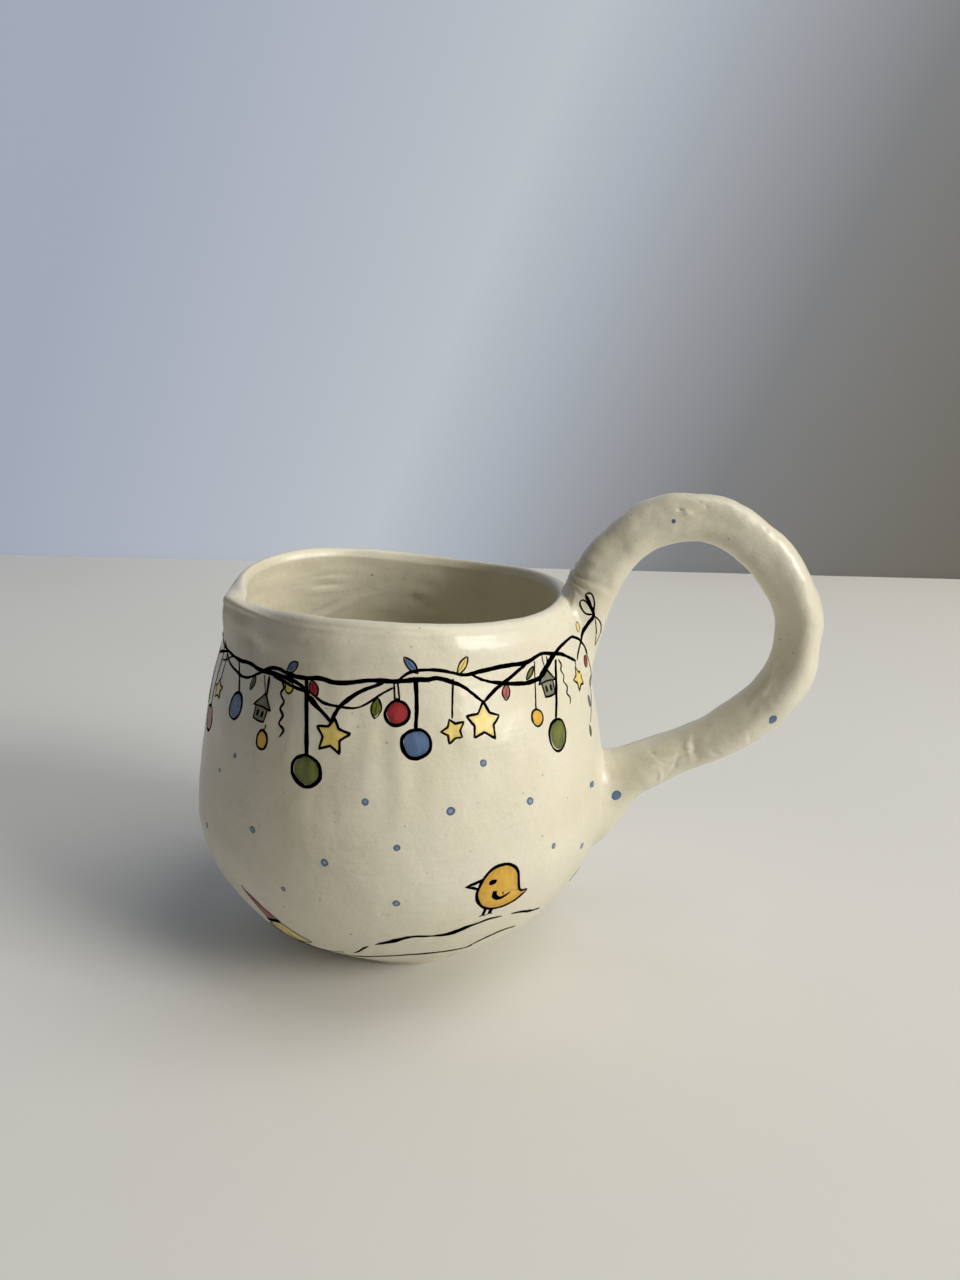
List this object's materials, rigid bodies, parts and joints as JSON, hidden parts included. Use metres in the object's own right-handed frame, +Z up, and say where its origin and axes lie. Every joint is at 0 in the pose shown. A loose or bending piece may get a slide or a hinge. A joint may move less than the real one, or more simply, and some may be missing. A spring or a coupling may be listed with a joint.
{
  "type": "hand-built mug",
  "caption": "Squat, bulbous hand-built stoneware mug with a wavy lip, a pinched rim corner and a rolled-coil loop handle that rises above the lip.",
  "frame": {"origin": "centre of the foot ring's resting face", "axes": "+Z up along the cup, +X from the cup's middle towards the handle"},
  "size_m": [0.1422, 0.0954, 0.1083],
  "materials": {
    "glazed_stoneware": "satin",
    "bare_clay": "matte",
    "black_line": "satin",
    "blue_underglaze": "satin",
    "red_underglaze": "satin",
    "green_underglaze": "satin",
    "yellow_underglaze": "satin",
    "orange_underglaze": "satin",
    "grey_underglaze": "satin",
    "white_underglaze": "satin"
  },
  "bodies": {
    "root": {"foot_ring": "bare_clay", "cup_base": "glazed_stoneware", "cup_wall": "glazed_stoneware", "handle_coil": "glazed_stoneware", "upper_joint_clay": "glazed_stoneware", "lower_joint_clay": "glazed_stoneware"}
  },
  "joints": []
}
